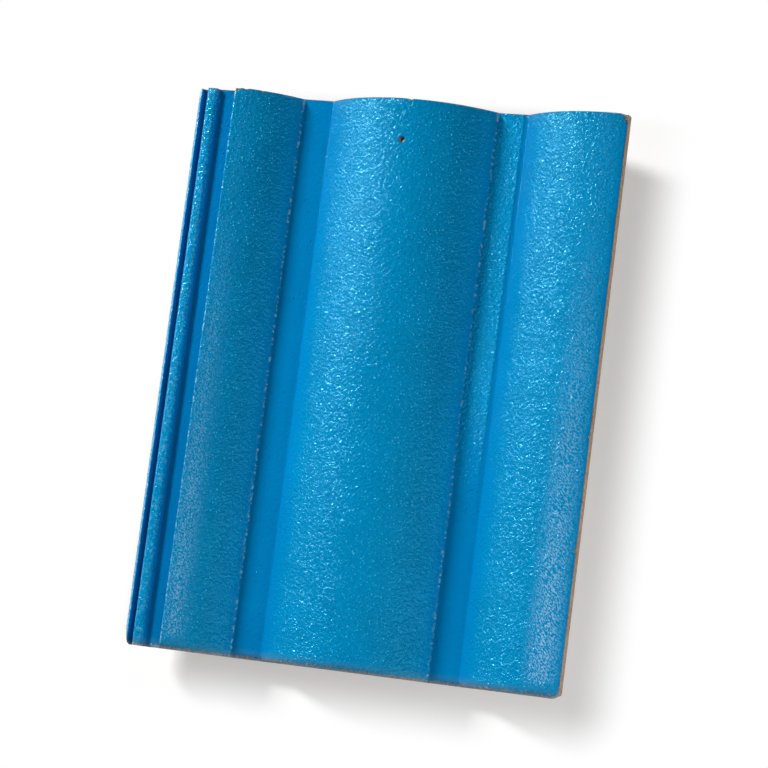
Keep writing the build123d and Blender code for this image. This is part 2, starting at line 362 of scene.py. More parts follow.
def tile_section(rule):
    """Corners of the whole section, up the left side, over the top and back below: (x, z, radius, marks).

    The marks say whether a point is coated, how much coat has pooled there, which also paints shade, and how
    rubbed it is, which also paints highlights.
    """
    sizes = rule.sizes
    recess_z = rule.edge_top_z - OVERLOCK_THICKNESS
    rib_z = recess_z - LAP_GAP
    lap_z = rib_z - RIB_HEIGHT
    drain_z = rib_z - DRAIN_DEPTH
    lip_z = drain_z + LIP_HEIGHT
    shelf_z = drain_z - SHELF_THICKNESS
    lip_x = rule.left_x + LIP_BEVEL[0]
    drain_left = lip_x + LIP_LAND + LIP_HEIGHT * GROOVE_DRAFT
    drain_right = drain_left + DRAIN_WIDTH
    rib_left = drain_right + DRAIN_DEPTH * GROOVE_DRAFT
    rib_right = rib_left + RIB_LAND
    lap_left = rib_right + RIB_HEIGHT * GROOVE_DRAFT
    drip_z = drain_z + LAP_GAP
    drip_left = drain_left + rule.cover + LAP_GAP
    drip_right = drain_right + rule.cover - LAP_GAP
    lean = (recess_z - drip_z) * GROOVE_DRAFT
    edge_rib_x = rule.right_x - EDGE_RIB_WIDTH
    edge_rib_z = lap_z + LAP_GAP
    haunch_x = rule.step_x + HAUNCH_RUN
    top = roll_line(rule, rule.step_x, rule.right_x, 0.0, sizes.crease_radius, sizes.top_step)
    # The pooled mark also paints shade into the drain, the lap floor and the right edge.
    plain, coated, pooled_and_shaded = (1.0, 0.0, 0.0), (1.0, 0.0, 0.2), (1.0, 1.0, 0.0)
    # The rubbed mark paints highlights, with some wear, on the lip's bevel and the step's edge; the coated mark
    # carries a faint painted highlight of 0.2 on the lip's land and the rib.
    rubbed_and_highlit, bare = (1.0, 0.0, 1.0), (0.0, 0.0, 0.0)
    corners = [
        (rule.left_x, shelf_z, EDGE_RADIUS, *bare),
        (rule.left_x, lip_z - LIP_BEVEL[1], EDGE_RADIUS, *rubbed_and_highlit),
        (lip_x, lip_z, LIP_RADIUS, *rubbed_and_highlit),
        (lip_x + LIP_LAND, lip_z, LIP_RADIUS, *coated),
        (drain_left, drain_z, GROOVE_RADIUS, *pooled_and_shaded),
        (drain_right, drain_z, GROOVE_RADIUS, *pooled_and_shaded),
        (rib_left, rib_z, RIB_RADIUS, *coated),
        (rib_right, rib_z, RIB_RADIUS, *coated),
        (lap_left, lap_z, GROOVE_RADIUS, *pooled_and_shaded),
        (rule.step_x, lap_z, GROOVE_RADIUS, *pooled_and_shaded),
        (rule.step_x, rule.step_top_z, EDGE_RADIUS, *rubbed_and_highlit),
    ]
    corners += [(x, z, 0.0, *plain) for x, z in top[1:-1]]
    corners += [
        (rule.right_x, rule.edge_top_z, EDGE_RADIUS, *pooled_and_shaded),
        (rule.right_x, edge_rib_z, EDGE_RADIUS, *bare),
        (edge_rib_x, edge_rib_z, EDGE_RADIUS, *bare),
        (edge_rib_x - RIB_HEIGHT * GROOVE_DRAFT, recess_z, GROOVE_RADIUS, *bare),
        (drip_right + lean, recess_z, GROOVE_RADIUS, *bare),
        (drip_right, drip_z, DRIP_RADIUS, *bare),
        (drip_left, drip_z, DRIP_RADIUS, *bare),
    ]
    # The drip rib's outer side leans until it meets the roll's underside.
    meet_x = drip_left
    while rule.arc_z(meet_x - rule.crests[2], sizes.wall) > drip_z + (drip_left - meet_x) / GROOVE_DRAFT:
        meet_x -= MEET_STEP
    under = roll_line(rule, haunch_x, meet_x, sizes.wall, sizes.foot_radius, sizes.under_step)
    corners += [(x, z, 0.0, *bare) for x, z in reversed(under)]
    corners.append((rule.step_x, shelf_z, 0.0, *bare))
    return divided(rounded(corners), sizes.top_step, sizes.under_step)


def put(tree, kind, links=None, **settings):
    """Add a node with its settings, and link or set its inputs. Gives its first output."""
    made = tree.nodes.new(kind)
    for name, value in settings.items():
        setattr(made, name, value)
    for place, value in (links or {}).items():
        live = [socket for socket in made.inputs if socket.enabled]
        socket = live[place] if isinstance(place, int) else next(s for s in live if s.name == place)
        if isinstance(value, bpy.types.NodeSocket):
            tree.links.new(value, socket)
        else:
            socket.default_value = value
    return next((socket for socket in made.outputs if socket.enabled), None)


def geometry_tree(name, inputs):
    """A geometry tree with a geometry in and out and named inputs, and its input sockets by name."""
    tree = bpy.data.node_groups.new(name, "GeometryNodeTree")
    tree.interface.new_socket("Geometry", in_out="INPUT", socket_type="NodeSocketGeometry")
    tree.interface.new_socket("Geometry", in_out="OUTPUT", socket_type="NodeSocketGeometry")
    for label, kind in inputs.items():
        tree.interface.new_socket(label, in_out="INPUT", socket_type=kind)
    entry = tree.nodes.new("NodeGroupInput")
    return tree, {socket.name: socket for socket in entry.outputs if socket.name}


def boxed(tree, geometry, entry):
    """Nodes that bring any point outside the tile's box back to its side."""
    place = put(tree, "GeometryNodeInputPosition")
    for side, pick in (("Box Low", "MAXIMUM"), ("Box High", "MINIMUM")):
        place = put(tree, "ShaderNodeVectorMath", {0: place, 1: entry[side]}, operation=pick)
    return put(tree, "GeometryNodeSetPosition", {"Geometry": geometry, "Position": place})


def box_sides():
    """The corners of the tile's box, brought in a little."""
    clear = Vector((NEAR, NEAR, NEAR)) / 2
    return {"Box Low": Vector(CAD_BOX[0]) + clear, "Box High": Vector(CAD_BOX[1]) - clear}


def bake_tree(thing, tree, values):
    """Run the tree on an object with these values, and leave its result as a plain mesh."""
    modifier = thing.modifiers.new(tree.name, "NODES")
    modifier.node_group = tree
    for item in tree.interface.items_tree:
        if item.item_type == "SOCKET" and item.in_out == "INPUT" and item.name in values:
            modifier[item.identifier] = values[item.name]
    graph = bpy.context.evaluated_depsgraph_get()
    result = bpy.data.meshes.new_from_object(thing.evaluated_get(graph), preserve_all_data_layers=True,
                                             depsgraph=graph)
    thing.modifiers.remove(modifier)
    thing.data = result
    result.name = thing.name
    # The slots that no face uses go.
    slots = [0] * len(result.polygons)
    result.polygons.foreach_get("material_index", slots)
    used = sorted(set(slots))
    kept = [result.materials[slot] for slot in used]
    result.materials.clear()
    for material in kept:
        result.materials.append(material)
    result.polygons.foreach_set("material_index", [used.index(slot) for slot in slots])


def new_object(name, mesh):
    """An object at the origin that holds the mesh."""
    thing = bpy.data.objects.new(name, mesh)
    bpy.context.scene.collection.objects.link(thing)
    return thing


def section_mesh(rule):
    """The section as one face at Y = 0, with what the run needs to know at each point."""
    line = tile_section(rule)
    mesh = bpy.data.meshes.new("tile_section")
    mesh.from_pydata([(x, 0.0, z) for x, z, *_ in line], [], [list(range(len(line)))])
    values = {name: [] for name in ("nose_top", "nose_fall") + READ_BY_COAT}
    for x, z, covered, pooled_and_shaded, rubbed_and_highlit in line:
        dry = 0.0
        offset = min((x - crest for crest in rule.crests), key=abs)
        on_roll = abs(offset) < rule.half_chord
        surface = rule.arc_z(offset) if on_roll else 0.0
        slope = sqrt(1 - (offset / rule.radius) ** 2) if on_roll else 1.0
        if x < rule.step_x - NEAR:
            level = FAR
        elif covered > 0.5 and abs(z - surface) < MM:
            level = z
            pooled_and_shaded, crease, dry = top_marks(rule, x)
            # The crease's painted highlight specks join the rubbed mark.
            rubbed_and_highlit = max(rubbed_and_highlit, crease)
        else:
            level = surface
        values["nose_top"].append(level)
        values["nose_fall"].append(1 / slope)
        # The right side is raw from the end of its rounded edge down.
        values["coat"].append(covered if x < rule.right_x - NEAR else 0.0)
        values["pool"].append(pooled_and_shaded)
        values["rub"].append(rubbed_and_highlit)
        values["dry"].append(dry)
        # The pale bloom and painted sheen lie in bands along two rolls.
        values["film"].append(max(max(0.0, 1 - abs(x - centre) / half) * strength
                                  for centre, half, strength in FILM_AND_SHEEN_BANDS))
    for name, numbers in values.items():
        mesh.attributes.new(name, "FLOAT", "POINT").data.foreach_set("value", numbers)
    return mesh


def run_tree():
    """Geometry tree that runs the section along the tile, with its nose, its plan and its relief."""
    number, length, whole = "NodeSocketInt", "NodeSocketFloat", "NodeSocketObject"
    tree, entry = geometry_tree("Tile run", {
        "Stations": number, "Nose Steps": number, "Nose Radius": length, "Left": length, "Right": length,
        "Tail": length, "Head": length, "Tail Cut X": length, "Tail Cut Y": length, "Head Cut": length,
        "Corner Radius": length, "Relief Depth": length, "Relief Width": length, "Tilt": length,
        "Place": "NodeSocketVector", "Box Low": "NodeSocketVector", "Box High": "NodeSocketVector",
        "Bars and Nibs": whole, "Drill": whole, "Chips": whole,
        "Coat": "NodeSocketMaterial", "Concrete": "NodeSocketMaterial",
    })
    section = entry["Geometry"]
    math, named = "ShaderNodeMath", "GeometryNodeInputNamedAttribute"

    def shaped(geometry, place, station, reads):
        """Set the points of a geometry to their place in the run, and store what the coat needs."""
        apart = put(tree, "ShaderNodeSeparateXYZ", {0: place}).node.outputs
        share = put(tree, math, {0: station, 1: entry["Nose Steps"]}, operation="DIVIDE", use_clamp=True)
        turn = put(tree, math, {0: share, 1: pi / 2}, operation="MULTIPLY")
        moves = []
        for part in ("COSINE", "SINE"):
            move = put(tree, math, {0: turn}, operation=part)
            move = put(tree, math, {0: 1.0, 1: move}, operation="SUBTRACT")
            moves.append(put(tree, math, {0: move, 1: entry["Nose Radius"]}, operation="MULTIPLY"))
        back, down = moves
        down = put(tree, math, {0: down, 1: reads["nose_fall"]}, operation="MULTIPLY")
        level = put(tree, math, {0: reads["nose_top"], 1: down}, operation="SUBTRACT")
        height = put(tree, math, {0: apart["Z"], 1: level}, operation="MINIMUM")
        # The plan: a long cut at the tail's left corner, a round at its right, and a small cut at the head.
        cuts = []
        for width in ("Tail Cut X", "Head Cut"):
            cut = put(tree, math, {0: entry["Left"], 1: entry[width]}, operation="ADD")
            cut = put(tree, math, {0: cut, 1: apart["X"]}, operation="SUBTRACT")
            cuts.append(put(tree, math, {0: cut, 1: 0.0}, operation="MAXIMUM"))
        rate = put(tree, math, {0: entry["Tail Cut Y"], 1: entry["Tail Cut X"]}, operation="DIVIDE")
        tail = put(tree, math, {0: cuts[0], 1: rate, 2: entry["Tail"]}, operation="MULTIPLY_ADD")
        inner = put(tree, math, {0: entry["Right"], 1: entry["Corner Radius"]}, operation="SUBTRACT")
        past = put(tree, math, {0: apart["X"], 1: inner}, operation="SUBTRACT")
        past = put(tree, math, {0: past, 1: 0.0}, operation="MAXIMUM")
        squares = [put(tree, math, {0: value, 1: value}, operation="MULTIPLY")
                   for value in (entry["Corner Radius"], past)]
        rest = put(tree, math, {0: squares[0], 1: squares[1]}, operation="SUBTRACT")
        rest = put(tree, math, {0: rest, 1: 0.0}, operation="MAXIMUM")
        rest = put(tree, math, {0: rest}, operation="SQRT")
        rest = put(tree, math, {0: entry["Corner Radius"], 1: rest}, operation="SUBTRACT")
        tail = put(tree, math, {0: tail, 1: rest}, operation="ADD")
        head = put(tree, math, {0: entry["Head"], 1: cuts[1]}, operation="SUBTRACT")
        # Stations: close together round the nose, and even from there to the head.
        later = put(tree, math, {0: station, 1: entry["Nose Steps"]}, operation="SUBTRACT")
        later = put(tree, math, {0: later, 1: 0.0}, operation="MAXIMUM")
        last = put(tree, math, {0: entry["Stations"], 1: entry["Nose Steps"]}, operation="SUBTRACT")
        last = put(tree, math, {0: last, 1: 1.0}, operation="SUBTRACT")
        along = put(tree, math, {0: later, 1: last}, operation="DIVIDE")
        run = put(tree, math, {0: head, 1: tail}, operation="SUBTRACT")
        run = put(tree, math, {0: run, 1: entry["Nose Radius"]}, operation="SUBTRACT")
        from_tail = put(tree, math, {0: along, 1: run, 2: back}, operation="MULTIPLY_ADD")
        length_y = put(tree, math, {0: from_tail, 1: tail}, operation="ADD")
        from_head = put(tree, math, {0: head, 1: length_y}, operation="SUBTRACT")
        where = put(tree, "ShaderNodeCombineXYZ", {0: apart["X"], 1: length_y, 2: height})
        # The right pan's coat has run off towards the tail, so its sand shows from the middle up, and a painted
        # sheen lightens that strip.
        dry = put(tree, "ShaderNodeMapRange", {0: from_tail, 1: DRY_SHEEN_RUN[0], 2: DRY_SHEEN_RUN[1]})
        dry = put(tree, math, {0: dry, 1: reads["dry"]}, operation="MULTIPLY")
        wet = put(tree, math, {0: 1.0, 1: dry}, operation="SUBTRACT")
        pool = put(tree, math, {0: reads["pool"], 1: wet}, operation="MULTIPLY")
        stores = {name: reads[name] for name in READ_BY_COAT}
        stores |= {"pool": pool, "dry": dry, "from_tail": from_tail, "from_head": from_head}
        for label, value in stores.items():
            geometry = put(tree, "GeometryNodeStoreNamedAttribute",
                           {"Geometry": geometry, "Name": label, "Value": value},
                           data_type="FLOAT", domain="POINT")
        return put(tree, "GeometryNodeSetPosition", {"Geometry": geometry, "Position": where})

    around = put(tree, "GeometryNodeAttributeDomainSize", {"Geometry": section}, component="MESH")
    columns = put(tree, math, {0: around, 1: 1.0}, operation="ADD")
    wall = put(tree, "GeometryNodeMeshGrid", {"Vertices X": columns, "Vertices Y": entry["Stations"]})
    index = put(tree, "GeometryNodeInputIndex")
    column = put(tree, math, {0: index, 1: entry["Stations"]}, operation="DIVIDE")
    column = put(tree, math, {0: column}, operation="FLOOR")
    station = put(tree, math, {0: index, 1: entry["Stations"]}, operation="MODULO")
    column = put(tree, math, {0: column, 1: around}, operation="MODULO")
    position = put(tree, "GeometryNodeInputPosition")
    held = {name: put(tree, named, {"Name": name}, data_type="FLOAT")
            for name in ("nose_top", "nose_fall") + READ_BY_COAT}
    place = put(tree, "GeometryNodeSampleIndex", {"Geometry": section, "Value": position, "Index": column},
                data_type="FLOAT_VECTOR", domain="POINT")
    reads = {name: put(tree, "GeometryNodeSampleIndex", {"Geometry": section, "Value": value, "Index": column},
                       data_type="FLOAT", domain="POINT") for name, value in held.items()}
    # The column and the station are read from the index before any point moves.
    wall = shaped(wall, place, station, reads)
    caps = put(tree, "GeometryNodeTriangulate", {0: section})
    tail_cap = put(tree, "GeometryNodeFlipFaces", {0: shaped(caps, position, 0.0, held)})
    final = put(tree, math, {0: entry["Stations"], 1: 1.0}, operation="SUBTRACT")
    head_cap = shaped(caps, position, final, held)
    body = put(tree, "GeometryNodeJoinGeometry", {0: wall})
    for cap in (tail_cap, head_cap):
        tree.links.new(cap, body.node.inputs[0])
    body = put(tree, "GeometryNodeMergeByDistance", {"Geometry": body, "Distance": MERGE_GAP})

    # Bars and nibs join the underside, and the drill goes through the middle crest.
    extra, drill, chips = (
        put(tree, "GeometryNodeObjectInfo", {"Object": entry[name]}).node.outputs["Geometry"]
        for name in ("Bars and Nibs", "Drill", "Chips")
    )
    solid = put(tree, "GeometryNodeMeshBoolean", {"Mesh": body}, operation="UNION", solver="EXACT")
    tree.links.new(extra, solid.node.inputs["Mesh"])
    solid = put(tree, "GeometryNodeMeshBoolean", {"Mesh 1": solid, "Mesh 2": drill},
                operation="DIFFERENCE", solver="EXACT")

    # What the coat reads is taken again from the run, because a cut or joined face has lost it.
    away = put(tree, "GeometryNodeProximity", {"Geometry": body}, target_element="FACES").node
    near = put(tree, math, {0: away.outputs["Distance"], 1: KEPT_FACE_GAP}, operation="LESS_THAN")
    for label in READ_BY_COAT + ("from_tail", "from_head"):
        value = put(tree, named, {"Name": label}, data_type="FLOAT")
        value = put(tree, "GeometryNodeSampleNearestSurface", {"Mesh": body, "Value": value}, data_type="FLOAT")
        if label == "coat":
            value = put(tree, math, {0: value, 1: near}, operation="MULTIPLY")
        solid = put(tree, "GeometryNodeStoreNamedAttribute",
                    {"Geometry": solid, "Name": label, "Value": value}, data_type="FLOAT", domain="POINT")

    # Slow waves, always inwards, so that the tile stays in its box, and calmer where the coat pooled.
    pool, reach, coat = (put(tree, named, {"Name": name}, data_type="FLOAT")
                         for name in ("pool", "reach", "coat"))
    noise = put(tree, math, {0: 1.0, 1: entry["Relief Width"]}, operation="DIVIDE")
    noise = put(tree, "ShaderNodeTexNoise",
                {"Vector": position, "Scale": noise, "Detail": 2.0, "Roughness": 0.6})
    bed = put(tree, math, {0: pool, 1: -POOL_CALM, 2: 1.0}, operation="MULTIPLY_ADD")
    depth = put(tree, math, {0: noise, 1: entry["Relief Depth"]}, operation="MULTIPLY")
    depth = put(tree, math, {0: depth, 1: bed}, operation="MULTIPLY")
    # Chips: a dent round each chip's point, with a ragged rim.
    nearest = put(tree, "GeometryNodeSampleNearest", {"Geometry": chips}, domain="POINT")
    reach = put(tree, "GeometryNodeSampleIndex", {"Geometry": chips, "Value": reach, "Index": nearest},
                data_type="FLOAT", domain="POINT")
    gap = put(tree, "GeometryNodeProximity", {"Geometry": chips}, target_element="POINTS")
    gap = gap.node.outputs["Distance"]
    rough = put(tree, "ShaderNodeTexNoise", {"Vector": position, "Scale": CHIP_RAGS})
    rough = put(tree, math, {0: rough, 1: CHIP_SPREAD, 2: CHIP_LEAST}, operation="MULTIPLY_ADD")
    reach = put(tree, math, {0: reach, 1: rough}, operation="MULTIPLY")
    dent = put(tree, math, {0: gap, 1: reach}, operation="DIVIDE")
    dent = put(tree, math, {0: 1.0, 1: dent}, operation="SUBTRACT")
    dent = put(tree, math, {0: dent, 1: 0.0}, operation="MAXIMUM")
    chipped = put(tree, math, {0: dent, 1: CHIP_BARE}, operation="MULTIPLY", use_clamp=True)
    for factor in (reach, CHIP_DEPTH):
        dent = put(tree, math, {0: dent, 1: factor}, operation="MULTIPLY")
    depth = put(tree, math, {0: depth, 1: dent}, operation="ADD")
    inward = put(tree, math, {0: depth, 1: -1.0}, operation="MULTIPLY")
    normal = put(tree, "GeometryNodeInputNormal")
    inward = put(tree, "ShaderNodeVectorMath", {0: normal, "Scale": inward}, operation="SCALE")
    whole = put(tree, math, {0: 1.0, 1: chipped}, operation="SUBTRACT")
    left = put(tree, math, {0: coat, 1: whole}, operation="MULTIPLY")
    solid = put(tree, "GeometryNodeStoreNamedAttribute",
                {"Geometry": solid, "Name": "coat", "Value": left}, data_type="FLOAT", domain="POINT")
    solid = put(tree, "GeometryNodeSetPosition", {"Geometry": solid, "Offset": inward})

    solid = put(tree, "GeometryNodeRemoveAttribute", {"Geometry": solid, "Name": "nose_*"},
                pattern_mode="WILDCARD")
    turn = put(tree, "ShaderNodeCombineXYZ", {0: entry["Tilt"]})
    solid = put(tree, "GeometryNodeTransform", {"Geometry": solid, "Rotation": turn,
                                                "Translation": entry["Place"]})
    solid = boxed(tree, solid, entry)
    solid = put(tree, "GeometryNodeSetShadeSmooth", {"Geometry": solid, "Shade Smooth": True}, domain="FACE")
    angle = put(tree, "GeometryNodeInputMeshEdgeAngle")
    soft = put(tree, math, {0: angle, 1: SOFT_ANGLE}, operation="LESS_THAN")
    solid = put(tree, "GeometryNodeSetShadeSmooth", {"Geometry": solid, "Shade Smooth": soft}, domain="EDGE")
    solid = put(tree, "GeometryNodeRealizeInstances", {0: solid})
    solid = put(tree, "GeometryNodeSetMaterial", {"Geometry": solid, "Material": entry["Concrete"]})
    coated = put(tree, math, {0: coat, 1: 0.02}, operation="GREATER_THAN")
    solid = put(tree, "GeometryNodeSetMaterial",
                {"Geometry": solid, "Selection": coated, "Material": entry["Coat"]})
    put(tree, "NodeGroupOutput", {0: solid})
    return tree


def closed_tube(shape, rings):
    """Add faces between the rings of points, and one at each end. Gives the last one."""
    for ring, following in zip(rings, rings[1:]):
        for place in range(len(ring)):
            shape.faces.new((ring[place - 1], ring[place], following[place], following[place - 1]))
    shape.faces.new(rings[0])
    return shape.faces.new(rings[-1][::-1])


def taken_out(shape, name):
    """The working shape as a mesh of that name."""
    mesh = bpy.data.meshes.new(name)
    shape.to_mesh(mesh)
    shape.free()
    return mesh


def weather_bar(rule, mesh, station):
    """Add one bar to the mesh: a tapered rib that follows the underside at a station."""
    sizes = rule.sizes
    depth = sizes.wall - BAR_ROOT
    low_x = rule.step_x + HAUNCH_RUN
    high_x = rule.crests[2] - BAR_END_BACK
    line = roll_line(rule, low_x, high_x, depth, sizes.foot_radius - BAR_ROOT, BAR_STEP)
    reach = BAR_ROOT + sizes.bar_depth
    profile = rounded([
        (-BAR_WIDTH / 2, 0.0, 0.0, 0.0), (-BAR_TIP_WIDTH / 2, -reach, TIP_RADIUS, 0.0),
        (BAR_TIP_WIDTH / 2, -reach, TIP_RADIUS, 0.0), (BAR_WIDTH / 2, 0.0, 0.0, 0.0),
    ])
    rings = []
    for number, (x, z) in enumerate(line):
        before = line[max(number - 1, 0)]
        after = line[min(number + 1, len(line) - 1)]
        run = Vector((after[0] - before[0], after[1] - before[1])).normalized()
        rings.append([mesh.verts.new((x - run.y * down, station + across, z + run.x * down))
                      for across, down, _ in profile])
    closed_tube(mesh, rings)


def nib(rule, mesh, centre_x):
    """Add one nib to the mesh: its hook face is upright, and its other sides slope."""
    sizes = rule.sizes
    levels = (
        (-sizes.wall / 2, NIB_WIDTH, NIB_LENGTH),
        (-sizes.wall, NIB_WIDTH, NIB_LENGTH),
        (-sizes.wall - sizes.nib_depth, NIB_TIP_WIDTH, NIB_TIP_LENGTH),
    )
    rings = []
    for z, width, length in levels:
        corners = ((-width / 2, 0.0), (width / 2, 0.0), (width / 2, length), (-width / 2, length))
        rings.append([mesh.verts.new((centre_x + x, rule.hook_y + y, z)) for x, y in corners])
    tip = closed_tube(mesh, rings)
    bmesh.ops.bevel(mesh, geom=list(tip.edges), offset=TIP_RADIUS, segments=4, profile=0.5, affect="EDGES")


def hanging_mesh(rule):
    """The weather bars and the nibs."""
    shape = bmesh.new()
    for number in range(rule.sizes.bar_count):
        weather_bar(rule, shape, rule.first_bar_y + BAR_WIDTH / 2 + number * rule.sizes.bar_pitch)
    for side in (-1, 1):
        nib(rule, shape, side * rule.sizes.roll_pitch / 2)
    bmesh.ops.recalc_face_normals(shape, faces=shape.faces)
    return taken_out(shape, "bars_and_nibs")


def drill_mesh(rule):
    """A round bar through the middle crest, as wide as the nail hole."""
    shape = bmesh.new()
    radius = rule.sizes.hole_diameter / 2
    bmesh.ops.create_cone(shape, cap_ends=True, segments=HOLE_SIDES, radius1=radius, radius2=radius,
                          depth=DRILL_LENGTH)
    bmesh.ops.translate(shape, verts=shape.verts, vec=(0.0, rule.hole_y, 0.0))
    return taken_out(shape, "nail_drill")


# Chips along the head's top edge and the right side: (x, from the head, reach), in millimetres
CHIPS = (
    (-134.6, 0.0, 3.4), (-131.0, 0.0, 2.4), (-126.5, 0.0, 2.0), (-114.0, 1.0, 1.5), (3.5, 0.0, 2.2),
    (86.0, 1.5, 1.3), (165.5, 0.0, 3.0), (167.0, 4.5, 2.4), (167.0, 236.0, 1.6), (167.0, 318.0, 1.8),
)
# How far over the face a chip's middle lies, in metres, and the scale of its ragged rim: bumps of 2.2 mm
CHIP_LIFT = 0.4 * MM
CHIP_RAGS = 450.0
# The reach of the rim is this much of the noise and this much more, as parts of the chip's own reach
CHIP_SPREAD = 1.1
CHIP_LEAST = 0.45
# How fast the coat ends inside the rim, and how deep the middle is, as a part of the reach
CHIP_BARE = 2.5
CHIP_DEPTH = 0.55


def chips_mesh(rule):
    """Points of the chips, each with its reach."""
    points = []
    for x, back, _ in CHIPS:
        offset = min((x * MM - crest for crest in rule.crests), key=abs)
        height = rule.arc_z(offset) if abs(offset) < rule.half_chord else 0.0
        points.append((x * MM, rule.head_y - back * MM, height + CHIP_LIFT))
    mesh = bpy.data.meshes.new("chips")
    mesh.from_pydata(points, [], [])
    reach = mesh.attributes.new("reach", "FLOAT", "POINT")
    for number, (_, _, width) in enumerate(CHIPS):
        reach.data[number].value = width * MM
    return mesh


def blank_material(name):
    """A new material, and its tree without nodes."""
    material = bpy.data.materials.new(name)
    material.use_nodes = True
    material.node_tree.nodes.clear()
    return material, material.node_tree


def concrete_face(tree, place, base):
    """Nodes for the colour and the height of pressed sand and cement: fine aggregate, mottling and pores."""
    # Sand in the mix is 0.5 to 2 mm: cells of 1.4 mm. Mottling from damp and pressing is some 25 mm wide, and
    # the pores are 3.2 mm apart.
    sand = put(tree, "ShaderNodeTexVoronoi", {"Vector": place, "Scale": 1 / (1.4 * MM)}, feature="F1")
    tint = put(tree, "ShaderNodeSeparateColor", {0: sand.node.outputs["Color"]})
    cloud = put(tree, "ShaderNodeTexNoise", {"Vector": place, "Scale": 1 / (25 * MM), "Detail": 4.0})
    shade = put(tree, "ShaderNodeMapRange", {0: tint, 3: 0.72, 4: 1.18})
    soil = put(tree, "ShaderNodeMapRange", {0: cloud, 1: 0.3, 2: 0.7, 3: 0.85, 4: 1.12})
    shade = put(tree, "ShaderNodeMath", {0: shade, 1: soil}, operation="MULTIPLY")
    tone = put(tree, "ShaderNodeVectorMath", {0: tuple(base)[:3], "Scale": shade}, operation="SCALE")
    pore = put(tree, "ShaderNodeTexNoise", {"Vector": place, "Scale": 1 / (3.2 * MM), "Detail": 3.0})
    pore = put(tree, "ShaderNodeMapRange", {0: pore, 1: 0.28, 2: 0.42, 3: 0.0, 4: 1.0})
    tone = put(tree, "ShaderNodeMix", {"Factor": pore, "A": linear("#4A443B"), "B": tone}, data_type="RGBA")
    lump = put(tree, "ShaderNodeMath", {0: sand, 1: -0.8, 2: pore}, operation="MULTIPLY_ADD")
    return tone, lump


def concrete_material(finish):
    """Pressed concrete, as the underside and the sides leave the pallet: matt, sandy and tan grey."""
    material, tree = blank_material("pressed_concrete")
    place = put(tree, "ShaderNodeTexCoord").node.outputs["Object"]
    tone, lump = concrete_face(tree, place, finish.concrete)
    bump = put(tree, "ShaderNodeBump", {"Strength": 0.7, "Distance": 0.35 * MM, "Height": lump})
    shader = put(tree, "ShaderNodeBsdfPrincipled", {"Base Color": tone, "Roughness": 0.92, "Normal": bump})
    put(tree, "ShaderNodeOutputMaterial", {"Surface": shader})
    return material


